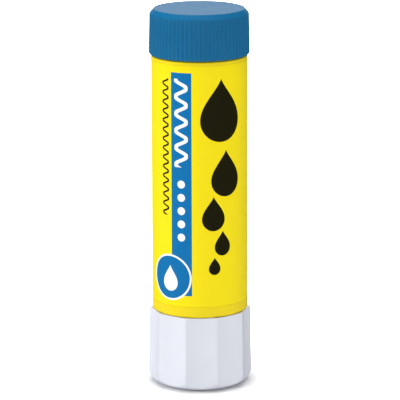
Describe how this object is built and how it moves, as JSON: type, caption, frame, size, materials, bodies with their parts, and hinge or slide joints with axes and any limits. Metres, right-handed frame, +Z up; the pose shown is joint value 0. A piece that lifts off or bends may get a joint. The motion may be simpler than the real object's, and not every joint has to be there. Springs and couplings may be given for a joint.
{
  "type": "glue stick",
  "caption": "Twist-up glue stick standing on its faceted screw cap, with a printed barrel and a fluted twist knob on top.",
  "frame": {"origin": "middle of the cap's closed end, on the surface that the stick stands on", "axes": "+Z up along the stick's axis, from the screw cap to the twist knob; -Y is the printed front of the label, +Y its seam"},
  "size_m": [0.0326, 0.0314, 0.1193],
  "materials": {
    "cap_white": "satin",
    "seal_white": "satin",
    "barrel_yellow": "satin",
    "label_film": "gloss",
    "knob_blue": "satin",
    "screw_white": "satin",
    "carrier_white": "satin",
    "glue_white": "satin"
  },
  "bodies": {
    "cap": {"screw_cap": "cap_white"},
    "seal": {"cap_seal": "seal_white"},
    "barrel": {"barrel": "barrel_yellow", "label_wrap": "label_film"},
    "knob": {"twist_knob": "knob_blue", "lead_screw": "screw_white"},
    "glue": {"glue_carrier": "carrier_white", "glue_core": "glue_white"}
  },
  "joints": [
    {"name": "cap_turn", "type": "hinge", "parent": "cap", "child": "seal", "pos_m": [0, 0, 0.012], "axis": [0, 0, 1], "range_deg": [0, 1080.1]},
    {"name": "cap_lift", "type": "slide", "parent": "seal", "child": "barrel", "axis": [0, 0, 1], "range_m": [0, 0.024]},
    {"name": "knob_turn", "type": "hinge", "parent": "barrel", "child": "knob", "pos_m": [0, 0, 0.1048], "axis": [0, 0, -1], "range_deg": [0, 300.1]},
    {"name": "glue_advance", "type": "slide", "parent": "barrel", "child": "glue", "axis": [0, 0, -1], "range_m": [0, 0.01]}
  ],
  "couplings": [
    {"joint": "cap_turn", "follows": "cap_lift", "rad_per_m": 785.4},
    {"joint": "knob_turn", "follows": "glue_advance", "rad_per_m": 523.6}
  ]
}
